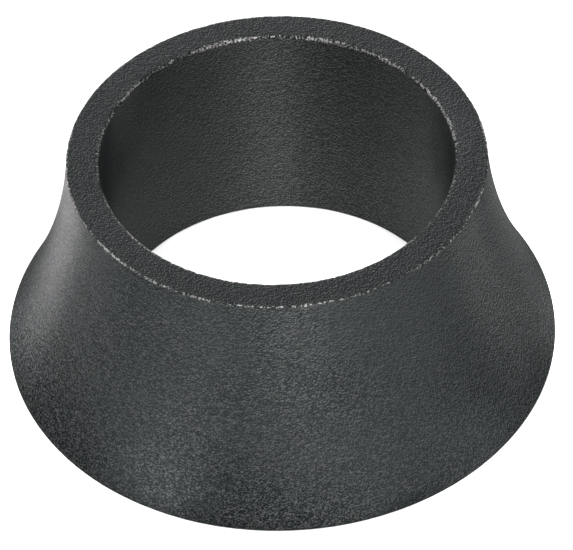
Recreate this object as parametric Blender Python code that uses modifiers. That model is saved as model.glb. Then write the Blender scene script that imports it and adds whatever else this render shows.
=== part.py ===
"""Conical steerer spacer: one solid ring with a straight bore and a flared, hollow-curved outside.

Units are metres and +Z is up. The origin is the centre of the wide base face, and the bore runs along Z.
"""

import math

import bpy
from mathutils import Matrix, Vector

# Driving dimensions
HEIGHT = 0.0197
BORE_RADIUS = 0.01435
TOP_RADIUS = 0.0170
BASE_CORNER_RADIUS = 0.02295        # where outside and base would meet; the rounding takes 0.1 mm off
NECK_SLOPE = math.radians(4.9)      # lean of the outside away from the axis, at the top edge

# Edge roundings, as radii
BORE_TOP_ROUND = 0.0003
BORE_BASE_ROUND = 0.0002
TOP_ROUND = 0.00015
BASE_ROUND = 0.00015

# Fineness of the turned mesh
TURN_STEPS = 128
FLARE_STEPS = 20
CORNER_STEPS = 3
MERGE_DISTANCE = 0.00001

# Finish: bead-blasted black anodised aluminium
ANODISED_BLACK = (0.030, 0.033, 0.034, 1.0)
ANODISED_METALLIC = 0.55
ANODISED_ROUGHNESS = 0.48
SHARP_ANGLE = math.radians(40)


def flare_arc():
    """Slopes at the top and base of the outside, and the radius of the single arc that joins them."""
    chord_slope = math.atan2(BASE_CORNER_RADIUS - TOP_RADIUS, HEIGHT)
    base_slope = 2 * chord_slope - NECK_SLOPE
    arc_radius = HEIGHT / (math.sin(base_slope) - math.sin(NECK_SLOPE))
    return base_slope, arc_radius


def down_the_flare(slope):
    """Direction of travel down the outside where it leans by this slope."""
    return Vector((math.sin(slope), -math.cos(slope)))


def rounded_corner(corner, arriving, leaving, radius):
    """Points of the arc that rounds a corner between two directions of travel, both unit vectors.

    The outline is travelled clockwise, so the way turns right at every corner.
    """
    turn = arriving.angle(leaving)
    start = corner - arriving * radius * math.tan(turn / 2)
    towards_centre = (leaving - arriving).normalized()
    centre = corner + towards_centre * radius / math.cos(turn / 2)
    points = []
    for step in range(CORNER_STEPS + 1):
        turned_by = Matrix.Rotation(-turn * step / CORNER_STEPS, 2)
        points.append(centre + turned_by @ (start - centre))
    return points


def flare_points(base_slope, arc_radius):
    """Points down the outside, between the roundings at its two ends."""
    points = []
    for step in range(1, FLARE_STEPS):
        slope = NECK_SLOPE + (base_slope - NECK_SLOPE) * step / FLARE_STEPS
        radius = TOP_RADIUS + arc_radius * (math.cos(NECK_SLOPE) - math.cos(slope))
        height = HEIGHT - arc_radius * (math.sin(slope) - math.sin(NECK_SLOPE))
        points.append(Vector((radius, height)))
    return points


def ring_profile():
    """Closed outline of the ring's section, as (radius, height), running down the outer side first."""
    base_slope, arc_radius = flare_arc()
    outward = Vector((1, 0))
    inward = Vector((-1, 0))
    upward = Vector((0, 1))
    outline = rounded_corner(
        Vector((TOP_RADIUS, HEIGHT)), outward, down_the_flare(NECK_SLOPE), TOP_ROUND)
    outline += flare_points(base_slope, arc_radius)
    outline += rounded_corner(
        Vector((BASE_CORNER_RADIUS, 0)), down_the_flare(base_slope), inward, BASE_ROUND)
    outline += rounded_corner(Vector((BORE_RADIUS, 0)), inward, upward, BORE_BASE_ROUND)
    outline += rounded_corner(Vector((BORE_RADIUS, HEIGHT)), upward, outward, BORE_TOP_ROUND)
    return outline


def turned_solid(name, outline, collection):
    """Solid of revolution about Z from a closed outline."""
    vertices = [(point.x, 0, point.y) for point in outline]
    edges = [(index, (index + 1) % len(vertices)) for index in range(len(vertices))]
    mesh = bpy.data.meshes.new(name + "_section")
    mesh.from_pydata(vertices, edges, [])
    turned = bpy.data.objects.new(name, mesh)
    collection.objects.link(turned)
    screw = turned.modifiers.new("turn", "SCREW")
    screw.axis = "Z"
    screw.angle = math.tau
    screw.steps = TURN_STEPS
    screw.render_steps = TURN_STEPS
    screw.use_merge_vertices = True
    screw.merge_threshold = MERGE_DISTANCE
    return turned


def bake_modifiers(source):
    """Replace an object's mesh with the result of its modifiers."""
    evaluated = source.evaluated_get(bpy.context.evaluated_depsgraph_get())
    mesh = bpy.data.meshes.new_from_object(evaluated)
    section = source.data
    source.modifiers.clear()
    source.data = mesh
    mesh.name = source.name
    bpy.data.meshes.remove(section)


def anodised_black():
    """Material of the ring."""
    material = bpy.data.materials.new("anodised_black")
    material.use_nodes = True
    shader = material.node_tree.nodes["Principled BSDF"]
    shader.inputs["Base Color"].default_value = ANODISED_BLACK
    shader.inputs["Metallic"].default_value = ANODISED_METALLIC
    shader.inputs["Roughness"].default_value = ANODISED_ROUGHNESS
    return material


def build_spacer(collection):
    """The ring, the object's only piece."""
    ring = turned_solid("spacer_ring", ring_profile(), collection)
    bake_modifiers(ring)
    ring.data.shade_smooth()
    ring.data.set_sharp_from_angle(angle=SHARP_ANGLE)
    ring.data.materials.append(anodised_black())


def main():
    for leftover in list(bpy.data.objects):
        bpy.data.objects.remove(leftover, do_unlink=True)
    collection = bpy.data.collections.new("conical_spacer")
    bpy.context.scene.collection.children.link(collection)
    build_spacer(collection)


main()
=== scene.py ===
"""Looks of the conical headset spacer: a bead-blasted, black anodised ring standing on a white floor."""

import math

import bpy
import numpy as np
from mathutils import Matrix, Vector, noise


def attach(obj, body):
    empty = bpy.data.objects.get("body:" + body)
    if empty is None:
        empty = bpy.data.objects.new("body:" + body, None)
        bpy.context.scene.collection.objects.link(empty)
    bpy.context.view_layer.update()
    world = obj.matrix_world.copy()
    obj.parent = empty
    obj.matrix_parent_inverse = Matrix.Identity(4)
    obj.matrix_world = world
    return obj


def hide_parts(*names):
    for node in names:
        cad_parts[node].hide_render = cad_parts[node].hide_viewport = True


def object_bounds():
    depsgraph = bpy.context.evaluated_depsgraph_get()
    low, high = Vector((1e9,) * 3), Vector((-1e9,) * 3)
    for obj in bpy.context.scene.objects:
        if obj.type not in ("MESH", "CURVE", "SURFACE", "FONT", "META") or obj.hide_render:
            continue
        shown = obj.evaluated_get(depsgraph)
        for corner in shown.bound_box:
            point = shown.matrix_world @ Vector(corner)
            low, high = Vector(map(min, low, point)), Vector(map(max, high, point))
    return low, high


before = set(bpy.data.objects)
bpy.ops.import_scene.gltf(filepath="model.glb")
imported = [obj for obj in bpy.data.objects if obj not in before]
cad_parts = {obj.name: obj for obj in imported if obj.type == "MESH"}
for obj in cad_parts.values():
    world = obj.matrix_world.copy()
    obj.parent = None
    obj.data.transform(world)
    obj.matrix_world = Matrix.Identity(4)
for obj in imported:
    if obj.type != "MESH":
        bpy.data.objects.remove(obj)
cad_low, cad_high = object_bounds()

# ---------------------------------------------------------------- sizes, in metres
MM = 0.001
HEIGHT = cad_high.z
BORE_RADIUS = 14.35 * MM
TOP_RADIUS = 17.0 * MM
BASE_CORNER_RADIUS = 22.95 * MM      # where outside and base would meet; the rounding takes 0.1 mm off
BOX_MARGIN = 0.001 * MM              # burrs stop this short of the CAD's box
OUTERMOST = cad_high.x - BOX_MARGIN
NECK_SLOPE = math.radians(4.9)       # how far the outside leans from upright at the top edge
BORE_TOP_ROUND = 0.30 * MM
BORE_BASE_ROUND = 0.20 * MM
TOP_ROUND = 0.15 * MM
BASE_ROUND = 0.15 * MM

# ---------------------------------------------------------------- fineness of the detailed ring
AROUND = 1200
FLARE_STEPS = 22
BORE_STEPS = 8
TOP_STEPS = 4
BASE_STEPS = 5
CORNER_STEPS = 6
SHOULDERS = (0.14 * MM, 0.06 * MM)   # extra rows beside each rounding, where its wear fades out

# ---------------------------------------------------------------- edge wear, left by blasting and handling
NICK_PITCH = 0.36 * MM               # along the edge, from one nick or burr to the next
NICK_DEPTH = 0.060 * MM
CHATTER_PITCH = 0.17 * MM            # smaller marks, laid over the nicks
CHATTER_DEPTH = 0.020 * MM
BURR_SHARE = 0.45                    # how far burrs stand out, as a share of how deep nicks go
TOP_WEAR = 0.80                      # how worn the top's outer edge is, from 0 to 1
BORE_WEAR = 0.85                     # the mouth of the bore
BASE_WEAR = 0.2                      # both lower edges


# ================================================================ the ring's section

def unit_down(slope):
    """Direction of travel down the outside where it leans by this slope."""
    return Vector((math.sin(slope), -math.cos(slope)))


def rounded_corner(corner, arriving, leaving, radius, wear):
    """Points round a right-hand turn between two directions of travel, and how each one wears.

    The wear points along the corner's outward diagonal, longest at the middle of the rounding.
    """
    turn = arriving.angle(leaving)
    reach = radius * math.tan(turn / 2)
    middle = (leaving - arriving).normalized()
    centre = corner + middle * radius / math.cos(turn / 2)
    points = [corner - arriving * (reach + beyond) for beyond in SHOULDERS]
    for step in range(CORNER_STEPS + 1):
        turned_by = Matrix.Rotation(-turn * step / CORNER_STEPS, 2)
        points.append(centre + turned_by @ (corner - arriving * reach - centre))
    points += [corner + leaving * (reach + beyond) for beyond in reversed(SHOULDERS)]
    half_length = radius * turn / 2 + SHOULDERS[0]
    halfway = points[len(points) // 2]
    wears = []
    for point in points:
        away = min((point - halfway).length / half_length, 1)
        wears.append(-middle * wear * math.cos(math.pi / 2 * away))
    return points, wears


def straight(start, end, steps):
    """Points strictly between two points."""
    return [start.lerp(end, step / steps) for step in range(1, steps)]


def flare_points(base_slope, arc_radius):
    """Points down the hollow outside, between the roundings at its two ends."""
    points = []
    for step in range(1, FLARE_STEPS):
        slope = NECK_SLOPE + (base_slope - NECK_SLOPE) * step / FLARE_STEPS
        radius = TOP_RADIUS + arc_radius * (math.cos(NECK_SLOPE) - math.cos(slope))
        height = HEIGHT - arc_radius * (math.sin(slope) - math.sin(NECK_SLOPE))
        points.append(Vector((radius, height)))
    return points


def ring_section():
    """Closed outline as (radius, height) points, and how each one wears.

    It runs clockwise from the top's outer corner.
    """
    chord_slope = math.atan2(BASE_CORNER_RADIUS - TOP_RADIUS, HEIGHT)
    base_slope = 2 * chord_slope - NECK_SLOPE
    arc_radius = HEIGHT / (math.sin(base_slope) - math.sin(NECK_SLOPE))
    outward, inward, upward = Vector((1, 0)), Vector((-1, 0)), Vector((0, 1))
    top_corner, top_wear = rounded_corner(
        Vector((TOP_RADIUS, HEIGHT)), outward, unit_down(NECK_SLOPE), TOP_ROUND, TOP_WEAR)
    base_corner, base_wear = rounded_corner(
        Vector((BASE_CORNER_RADIUS, 0)), unit_down(base_slope), inward, BASE_ROUND, BASE_WEAR)
    bore_foot, foot_wear = rounded_corner(
        Vector((BORE_RADIUS, 0)), inward, upward, BORE_BASE_ROUND, BASE_WEAR)
    bore_mouth, mouth_wear = rounded_corner(
        Vector((BORE_RADIUS, HEIGHT)), upward, outward, BORE_TOP_ROUND, BORE_WEAR)
    outline = []
    wears = []
    for corner, wear, run in (
            (top_corner, top_wear, flare_points(base_slope, arc_radius)),
            (base_corner, base_wear, straight(base_corner[-1], bore_foot[0], BASE_STEPS)),
            (bore_foot, foot_wear, straight(bore_foot[-1], bore_mouth[0], BORE_STEPS)),
            (bore_mouth, mouth_wear, straight(bore_mouth[-1], top_corner[0], TOP_STEPS))):
        outline += corner + run
        wears += wear + [Vector((0, 0))] * len(run)
    return np.array([tuple(point) for point in outline]), np.array([tuple(wear) for wear in wears])


def edge_relief(place):
    """Height of nicks (negative) and burrs (positive) at a place on an edge."""
    nick = noise.noise(place / NICK_PITCH)
    chatter = noise.noise(place / CHATTER_PITCH)
    height = nick * NICK_DEPTH + chatter * CHATTER_DEPTH
    return height * BURR_SHARE if height > 0 else height


def turned_ring(name, section, wears):
    """Mesh of the section turned about Z, as rows of quads, with nicked and burred edges.

    Its attribute "edge" says how worn each point is.
    """
    count = len(section)
    turn = np.arange(AROUND) * math.tau / AROUND
    out = np.stack([np.cos(turn), np.sin(turn), np.zeros(AROUND)], axis=-1)
    vertices = out[:, None, :] * section[None, :, :1]
    vertices[..., 2] += section[:, 1]
    wear_sizes = np.hypot(*wears.T)
    for row in np.flatnonzero(wear_sizes > 0):
        relief = np.array([edge_relief(Vector(place)) for place in vertices[:, row]])
        vertices[:, row] += relief[:, None] * (out * wears[row, 0] + np.array((0, 0, wears[row, 1])))
    reach = np.hypot(vertices[..., 0], vertices[..., 1])
    vertices[..., :2] *= np.minimum(OUTERMOST / reach, 1)[..., None]
    vertices[..., 2] = vertices[..., 2].clip(0, HEIGHT)
    column, row = np.meshgrid(np.arange(AROUND), np.arange(count), indexing="ij")
    next_column, next_row = (column + 1) % AROUND, (row + 1) % count
    corners = np.stack([
        column * count + row, column * count + next_row,
        next_column * count + next_row, next_column * count + row], axis=-1)
    mesh = bpy.data.meshes.new(name)
    mesh.from_pydata(vertices.reshape(-1, 3).tolist(), [], corners.reshape(-1, 4).tolist())
    edge = mesh.attributes.new("edge", "FLOAT", "POINT")
    edge.data.foreach_set("value", np.tile(wear_sizes, AROUND))
    mesh.shade_smooth()
    ring = bpy.data.objects.new(name, mesh)
    bpy.context.scene.collection.objects.link(ring)
    return ring


# ================================================================ materials

def principled(name):
    """New material, and its shader."""
    material = bpy.data.materials.new(name)
    material.use_nodes = True
    return material, material.node_tree.nodes["Principled BSDF"]


class Nodes:
    """Short ways to add nodes to one material and join them up."""

    def __init__(self, material):
        self.tree = material.node_tree

    def add(self, kind, **settings):
        node = self.tree.nodes.new(kind)
        for setting, value in settings.items():
            setattr(node, setting, value)
        return node

    def join(self, output, socket):
        self.tree.links.new(output, socket)

    def noise(self, place, pitch, detail=0.0):
        """Noise from 0 to 1 with features about a pitch apart, and finer ones where it has detail."""
        node = self.add("ShaderNodeTexNoise")
        self.join(place, node.inputs["Vector"])
        node.inputs["Scale"].default_value = 1 / pitch
        node.inputs["Detail"].default_value = detail
        return node.outputs["Fac"]

    def sum(self, first, second, weight):
        """first + second * weight."""
        node = self.add("ShaderNodeMath", operation="MULTIPLY_ADD")
        self.join(second, node.inputs[0])
        node.inputs[1].default_value = weight
        self.join(first, node.inputs[2])
        return node.outputs[0]

    def band(self, value, low, high, start=0.0, end=1.0):
        """A value's range from low to high, spread over start to end and held there beyond it."""
        node = self.add("ShaderNodeMapRange")
        self.join(value, node.inputs["Value"])
        for socket, number in (("From Min", low), ("From Max", high), ("To Min", start), ("To Max", end)):
            node.inputs[socket].default_value = number
        return node.outputs["Result"]

    def larger(self, first, second):
        """The larger of two values."""
        node = self.add("ShaderNodeMath", operation="MAXIMUM")
        self.join(first, node.inputs[0])
        self.join(second, node.inputs[1])
        return node.outputs[0]

    def colours(self, share, first, second):
        """Mix of two fixed colours."""
        node = self.add("ShaderNodeMix", data_type="RGBA")
        self.join(share, node.inputs["Factor"])
        node.inputs["A"].default_value = first
        node.inputs["B"].default_value = second
        return node.outputs["Result"]

    def blend(self, share, under, colour):
        """A fixed colour laid over a colour that varies."""
        node = self.add("ShaderNodeMix", data_type="RGBA")
        self.join(share, node.inputs["Factor"])
        self.join(under, node.inputs["A"])
        node.inputs["B"].default_value = colour
        return node.outputs["Result"]


# ---------------------------------------------------------------- the turned, blasted and anodised finish
DYE = (0.0075, 0.0096, 0.0100)       # the black oxide, a little cold
DYE_CHANGE = 0.25                    # from cloud to cloud, either way
CLOUD_PITCH = 5 * MM
CLOUD_DETAIL = 2.0
BROAD_PITCH = 0.30 * MM              # the blasted grain: three sizes of dent laid over each other
MIDDLE_PITCH = 0.14 * MM
FINE_PITCH = 0.08 * MM
BROAD_SHARE = 0.5                    # of broad and of fine dents to the middle ones
FINE_SHARE = 0.6
PIT_HEIGHT = 0.2                     # grain heights, 0.5 on average, between which the roughness changes
LIP_HEIGHT = 0.8
PIT_ROUGHNESS = 0.42
LIP_ROUGHNESS = 0.58
# the way that the painted highlight on each lip faces, as if lit from there: first on the flare and in the
# bore, then on the ends
STEEP_LIT_SIDE = Vector((-0.020, -0.020, 0.080)) * MM
LEVEL_LIT_SIDE = Vector((-0.050, 0.050, 0.0)) * MM
PAINTED_GLINT_FULL = 0.30                      # fall in grain height at which a lip's painted highlight is at its brightest
ALONG_AXIS = 0.25                    # of a turn, from round the ring to along its axis
BARE = (0.44, 0.43, 0.42)            # aluminium where an edge is worn through
BEAD_PITCH = 0.17 * MM               # from one worn spot to the next along an edge
BEAD_DETAIL = 1.0
SCUFF_PITCH = 4 * MM                 # from one worn stretch to the next
SCUFF_SHARE = 0.4                    # of scuffs to beads, in what decides where the oxide is gone
EDGE_SHARE = 0.65                    # how much an edge adds to that
WEAR_FROM = 1.20                     # the oxide thins from here on
WEAR_TO = 1.50                       # and is gone from here on
FINISH_MARGIN = 0.02 * MM            # how far off a plain surface, into its roundings, its finish reaches


def grain_height(nodes, place):
    """Height of the blasted grain, from 0 to 1 with a mean of 0.5."""
    broad = nodes.noise(place, BROAD_PITCH)
    middle = nodes.noise(place, MIDDLE_PITCH)
    fine = nodes.noise(place, FINE_PITCH)
    total = nodes.sum(nodes.sum(middle, fine, FINE_SHARE), broad, BROAD_SHARE)
    return nodes.band(total, 0.0, 1 + FINE_SHARE + BROAD_SHARE)


def blasted_finish(name, lit_side_way, painted_glint_shine, painted_glint_from, pit_depth, turned, specular):
    """Black anodised aluminium, bead-blasted all over, with a painted highlight: one side of each dent is
    painted brighter and more mirror-like, as if lit from there.

    lit_side_way points where that painted lit side faces and is as long as the step over which the fall of
    the grain is taken, painted_glint_shine is how much the brightest painted lips mirror,
    painted_glint_from is the fall at which a lip's painted highlight begins to show, turned is how
    strongly the marks of turning draw the shine out along the axis, and specular is how much the oxide
    itself mirrors.
    """
    material, shader = principled(name)
    nodes = Nodes(material)
    place = nodes.add("ShaderNodeTexCoord").outputs["Object"]
    height = grain_height(nodes, place)
    # painted highlight: the grain is compared with itself a step along lit_side_way, and the side that
    # falls that way is picked out as a lip
    beside = nodes.add("ShaderNodeVectorMath", operation="ADD")
    nodes.join(place, beside.inputs[0])
    beside.inputs[1].default_value = lit_side_way
    fall = nodes.sum(height, grain_height(nodes, beside.outputs["Vector"]), -1.0)
    painted_glint = nodes.band(fall, painted_glint_from, PAINTED_GLINT_FULL)
    edge = nodes.add("ShaderNodeAttribute", attribute_name="edge").outputs["Fac"]
    beads = nodes.noise(place, BEAD_PITCH, BEAD_DETAIL)
    scuffed_beads = nodes.sum(beads, nodes.noise(place, SCUFF_PITCH), SCUFF_SHARE)
    wear = nodes.band(nodes.sum(scuffed_beads, edge, EDGE_SHARE), WEAR_FROM, WEAR_TO)
    dark_dye = [part * (1 - DYE_CHANGE) for part in DYE]
    light_dye = [part * (1 + DYE_CHANGE) for part in DYE]
    clouds = nodes.noise(place, CLOUD_PITCH, CLOUD_DETAIL)
    dye = nodes.colours(clouds, (*dark_dye, 1), (*light_dye, 1))
    # painted highlight: lips are blended toward a lighter grey and made metallic, as if lit from one side;
    # the grain and the dye clouds are the ring's own
    dye_and_painted_glints = nodes.blend(painted_glint, dye, (painted_glint_shine, painted_glint_shine, painted_glint_shine, 1))
    nodes.join(nodes.blend(wear, dye_and_painted_glints, (*BARE, 1)), shader.inputs["Base Color"])
    nodes.join(nodes.larger(painted_glint, wear), shader.inputs["Metallic"])
    roughness = nodes.band(height, PIT_HEIGHT, LIP_HEIGHT, PIT_ROUGHNESS, LIP_ROUGHNESS)
    nodes.join(roughness, shader.inputs["Roughness"])
    bump = nodes.add("ShaderNodeBump")
    bump.inputs["Strength"].default_value = 1.0
    bump.inputs["Distance"].default_value = pit_depth
    nodes.join(height, bump.inputs["Height"])
    nodes.join(bump.outputs["Normal"], shader.inputs["Normal"])
    around = nodes.add("ShaderNodeTangent", direction_type="RADIAL", axis="Z")
    nodes.join(around.outputs["Tangent"], shader.inputs["Tangent"])
    shader.inputs["Anisotropic"].default_value = turned
    shader.inputs["Anisotropic Rotation"].default_value = ALONG_AXIS
    shader.inputs["Specular IOR Level"].default_value = specular
    return material


def dress(ring):
    """Give the flare, the bore and the two faced ends their finishes.

    The painted highlights on the lips of the flare and the bore face up, and a little left and to the
    front. Those on the ends face left and back.
    """
    flare = blasted_finish(
        "black_flare", lit_side_way=STEEP_LIT_SIDE, painted_glint_shine=0.095, painted_glint_from=-0.04,
        pit_depth=0.02 * MM, turned=1.0, specular=0.001)
    bore = blasted_finish(
        "black_bore", lit_side_way=STEEP_LIT_SIDE, painted_glint_shine=0.17, painted_glint_from=-0.02,
        pit_depth=0.02 * MM, turned=1.0, specular=0.15)
    faced = blasted_finish(
        "black_ends", lit_side_way=LEVEL_LIT_SIDE, painted_glint_shine=0.14, painted_glint_from=0.0,
        pit_depth=0.05 * MM, turned=0.0, specular=0.08)
    for material in (flare, bore, faced):
        ring.data.materials.append(material)
    centres = np.empty(len(ring.data.polygons) * 3)
    ring.data.polygons.foreach_get("center", centres)
    x, y, z = centres.reshape(-1, 3).T
    in_bore = np.hypot(x, y) < BORE_RADIUS + FINISH_MARGIN
    on_end = ~in_bore & ((z > HEIGHT - FINISH_MARGIN) | (z < FINISH_MARGIN))
    # slots 0, 1 and 2 hold the finishes of the flare, the bore and the ends
    ring.data.polygons.foreach_set("material_index", in_bore * 1 + on_end * 2)


# ================================================================ stage, light and camera
# Azimuths and elevations are in degrees; azimuth 0 is the camera's side, 90 the right, 180 the back.

FLOOR_SIZE = 6.0                     # metres
PAPER = (0.9, 0.9, 0.9)
PAPER_ROUGHNESS = 0.8
PAPER_SPECULAR = 0.1

BOX_DISTANCE = 0.5                   # metres, from the middle of the ring
BOX_SIZE = 0.158                     # metres
# name, azimuth, elevation, watts
SOFTBOXES = (
    ("key_front", 0, 48, 1.3),
    ("top_right", 30, 72, 1.6),
    ("top_left", 330, 72, 0.8),
    ("side_left", 270, 48, 0.3),
    ("back_left", 240, 48, 0.9),
    ("back_low", 180, 8, 1.3),
    ("right_low", 100, 8, 0.6))

POOL_HEIGHT = 0.3                    # metres, from the floor up to the lamp over each pool
POOL_LAMP_RADIUS = 4 * MM
POOL_SOFTNESS = 0.6                  # share of a pool over which its light fades out
WHITE = (1.0, 1.0, 1.0)
WARM = (1.0, 0.93, 0.94)
# name, azimuth, distance from the ring's axis and patch radius in millimetres, watts, colour
POOLS = (
    ("front_far", 4, 110, 14, 1200, WHITE),
    ("front_middle", 12, 70, 9, 230, WHITE),
    ("front_near", 8, 46, 6, 420, WHITE),
    ("front_right", 18, 30, 4, 330, WHITE),
    ("front_right_wide", 45, 32, 10, 22, WHITE),
    ("right_near", 90, 32, 10, 26, WHITE),
    ("right", 90, 46, 14, 25, WHITE),
    ("right_far", 130, 75, 22, 110, WHITE),
    ("right_back", 120, 32, 10, 12, WHITE),
    ("front_left", 330, 30, 4, 270, WHITE),
    ("left_front", 315, 46, 6, 160, WHITE),
    ("left_near", 270, 32, 10, 23, WHITE),
    ("left", 255, 46, 6, 2300, WARM),
    ("left_back", 240, 95, 28, 5500, WARM),
    ("hole", 0, 0, 12, 3, WHITE),
    ("hole_right", 100, 9, 5, 12, WHITE))

CAMERA_DISTANCE = 351.3 * MM         # from the centre of the top face
CAMERA_ELEVATION = math.radians(43.61)
CAMERA_ROLL = math.radians(-1.70)
AIM = Vector((0.5 * MM, 0, 6.11 * MM))   # the point in the middle of the picture
LENS = 273.96                        # millimetres, as is the sensor
SENSOR_WIDTH = 36
NEAREST_SEEN = 0.01                  # metres
FARTHEST_SEEN = 10


def white_floor():
    bpy.ops.mesh.primitive_plane_add(size=FLOOR_SIZE)
    floor = bpy.context.object
    floor.name = "floor"
    material, shader = principled("white_paper")
    shader.inputs["Base Color"].default_value = (*PAPER, 1)
    shader.inputs["Roughness"].default_value = PAPER_ROUGHNESS
    shader.inputs["Specular IOR Level"].default_value = PAPER_SPECULAR
    floor.data.materials.append(material)


def softbox(name, azimuth, elevation, power):
    """Square area light that looks at the middle of the ring."""
    side, rise = math.radians(azimuth), math.radians(elevation)
    towards = Vector((math.sin(side) * math.cos(rise), -math.cos(side) * math.cos(rise), math.sin(rise)))
    light = bpy.data.lights.new(name, "AREA")
    light.size = BOX_SIZE
    light.energy = power
    lamp = bpy.data.objects.new(name, light)
    lamp.location = Vector((0, 0, HEIGHT / 2)) + towards * BOX_DISTANCE
    lamp.rotation_euler = towards.to_track_quat("Z", "Y").to_euler()
    bpy.context.scene.collection.objects.link(lamp)


def pool(name, azimuth, reach, radius, power, colour):
    """Spot from straight above that lights a round patch of the floor, which the ring then mirrors."""
    side = math.radians(azimuth)
    light = bpy.data.lights.new(name, "SPOT")
    light.energy = power
    light.color = colour
    light.shadow_soft_size = POOL_LAMP_RADIUS
    light.spot_size = 2 * math.atan(radius / POOL_HEIGHT)
    light.spot_blend = POOL_SOFTNESS
    lamp = bpy.data.objects.new(name, light)
    lamp.location = (reach * math.sin(side), -reach * math.cos(side), POOL_HEIGHT)
    bpy.context.scene.collection.objects.link(lamp)


def studio():
    """All the lamps, under a sky that gives no light."""
    world = bpy.data.worlds.new("studio")
    world.use_nodes = True
    world.node_tree.nodes["Background"].inputs["Strength"].default_value = 0.0
    bpy.context.scene.world = world
    for name, azimuth, elevation, power in SOFTBOXES:
        softbox(name, azimuth, elevation, power)
    for name, azimuth, reach, radius, power, colour in POOLS:
        pool(name, azimuth, reach * MM, radius * MM, power, colour)


def camera():
    data = bpy.data.cameras.new("camera")
    data.lens = LENS
    data.sensor_width = SENSOR_WIDTH
    data.clip_start = NEAREST_SEEN
    data.clip_end = FARTHEST_SEEN
    eye = bpy.data.objects.new("camera", data)
    eye.location = (0, -CAMERA_DISTANCE * math.cos(CAMERA_ELEVATION),
                    HEIGHT + CAMERA_DISTANCE * math.sin(CAMERA_ELEVATION))
    looking = (AIM - eye.location).to_track_quat("-Z", "Y").to_matrix()
    eye.rotation_euler = (looking @ Matrix.Rotation(CAMERA_ROLL, 3, "Z")).to_euler()
    bpy.context.scene.collection.objects.link(eye)
    bpy.context.scene.camera = eye


camera()
ring = turned_ring("spacer_ring_detailed", *ring_section())
dress(ring)
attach(ring, "root")
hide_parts("spacer_ring")
white_floor()
studio()
bpy.context.scene.view_settings.view_transform = "Standard"
